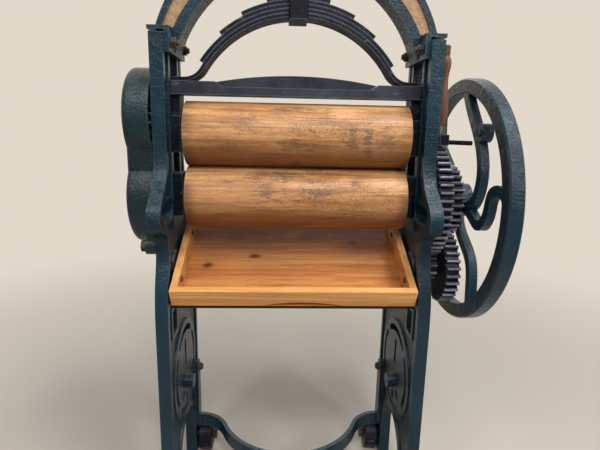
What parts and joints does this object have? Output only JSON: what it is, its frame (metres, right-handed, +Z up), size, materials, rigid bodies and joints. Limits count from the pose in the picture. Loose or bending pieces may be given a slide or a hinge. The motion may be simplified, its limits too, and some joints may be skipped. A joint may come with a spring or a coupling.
{
  "type": "roller mangle",
  "caption": "Hand-cranked roller mangle: two wooden rollers in a cast frame with leaf spring, sloping tray, back gearing and flywheel.",
  "frame": {"origin": "middle of the footprint box on the floor, under the middle of the whole width from gear cover to shaft end", "axes": "+X along the rollers towards the flywheel, +Y to the back, +Z up"},
  "size_m": [0.722, 0.5119, 1.3516],
  "materials": {
    "teal_casting": "glossy dark teal paint",
    "arch_casting": "dark teal paint with a bare gold panel",
    "teal_flywheel": "glossy dark teal paint",
    "graphite_iron": "graphite grey",
    "roller_wood": "worn stained wood",
    "tray_wood": "oiled pine",
    "grip_wood": "worn reddish wood",
    "wheel_iron": "dull black",
    "gear_iron": "dark with worn tooth tips",
    "turned_steel": "dull turned steel",
    "black_iron": "dull black",
    "rusty_bolt": "brown with rust"
  },
  "bodies": {
    "stand": {"arch_bolts": "rusty_bolt", "arch_nuts": "rusty_bolt", "bottom_stretcher": "teal_casting", "gear_cover": "teal_casting", "gear_cover_bolt": "rusty_bolt", "handle_bracket": "black_iron", "handle_nuts": "rusty_bolt", "handle_spindle": "turned_steel", "lay_stud": "turned_steel", "lay_stud_nut": "rusty_bolt", "left_side_frame": "teal_casting", "lower_bearing_left": "graphite_iron", "lower_bearing_right": "graphite_iron", "rear_wheel_axles": "rusty_bolt", "right_side_frame": "teal_casting", "stretcher_bolts": "rusty_bolt", "top_arch": "arch_casting", "tray_floor": "tray_wood", "tray_front_rail": "tray_wood", "tray_left_rail": "tray_wood", "tray_right_rail": "tray_wood", "tray_screws": "rusty_bolt"},
    "lower_roller_body": {"lower_roller": "roller_wood", "lower_shaft": "turned_steel", "lower_coupling_gear": "gear_iron", "output_gear": "gear_iron", "flywheel_nut": "rusty_bolt"},
    "upper_roller_body": {"upper_roller": "roller_wood", "upper_shaft": "turned_steel", "upper_coupling_gear": "gear_iron"},
    "carriage": {"pressure_beam": "graphite_iron", "left_push_block": "graphite_iron", "right_push_block": "graphite_iron", "upper_bearing_left": "graphite_iron", "upper_bearing_right": "graphite_iron", "spring_buckle": "graphite_iron", "spring_leaf_1": "graphite_iron", "spring_leaf_2": "graphite_iron", "spring_leaf_3": "graphite_iron", "spring_leaf_4": "graphite_iron", "spring_leaf_5": "graphite_iron", "spring_leaf_6": "graphite_iron"},
    "screw": {"pressure_screw": "turned_steel", "screw_handwheel": "black_iron"},
    "layshaft": {"lay_gear": "gear_iron", "lay_pinion": "gear_iron"},
    "flywheel_body": {"flywheel": "teal_flywheel", "flywheel_pinion": "gear_iron", "crank_boss_bolt": "rusty_bolt"},
    "grip": {"handle_grip": "grip_wood", "handle_ferrule": "rusty_bolt"},
    "wheel_left": {"rear_wheel_left": "wheel_iron"},
    "wheel_right": {"rear_wheel_right": "wheel_iron"}
  },
  "joints": [
    {"name": "lower_roller_turn", "type": "hinge", "parent": "stand", "child": "lower_roller_body", "pos_m": [-0.029, 0, 0.739], "axis": [1, 0, 0], "continuous": true},
    {"name": "pressure_lift", "type": "slide", "parent": "stand", "child": "carriage", "axis": [0, 0, 1], "range_m": [0, 0.01]},
    {"name": "upper_roller_turn", "type": "hinge", "parent": "carriage", "child": "upper_roller_body", "pos_m": [-0.029, 0, 0.871], "axis": [1, 0, 0], "continuous": true},
    {"name": "pressure_screw_turn", "type": "hinge", "parent": "carriage", "child": "screw", "pos_m": [-0.029, 0, 1.2], "axis": [0, 0, 1], "range_deg": [0, 720]},
    {"name": "layshaft_turn", "type": "hinge", "parent": "stand", "child": "layshaft", "pos_m": [0.279, -0.036, 0.59854], "axis": [1, 0, 0], "continuous": true},
    {"name": "flywheel_turn", "type": "hinge", "parent": "stand", "child": "flywheel_body", "pos_m": [0.321, 0, 0.739], "axis": [1, 0, 0], "continuous": true},
    {"name": "grip_spin", "type": "hinge", "parent": "stand", "child": "grip", "pos_m": [0.261, -0.054, 0.963], "axis": [0, 0, 1], "continuous": true},
    {"name": "rear_wheel_left_turn", "type": "hinge", "parent": "stand", "child": "wheel_left", "pos_m": [-0.258, 0.158, 0.044], "axis": [1, 0, 0], "continuous": true},
    {"name": "rear_wheel_right_turn", "type": "hinge", "parent": "stand", "child": "wheel_right", "pos_m": [0.2, 0.158, 0.044], "axis": [1, 0, 0], "continuous": true}
  ],
  "couplings": [
    {"joint": "upper_roller_turn", "follows": "lower_roller_turn", "ratio": -1},
    {"joint": "layshaft_turn", "follows": "lower_roller_turn", "ratio": -4.8},
    {"joint": "flywheel_turn", "follows": "lower_roller_turn", "ratio": 4.8},
    {"joint": "pressure_screw_turn", "follows": "pressure_lift", "rad_per_m": 1256.6}
  ]
}
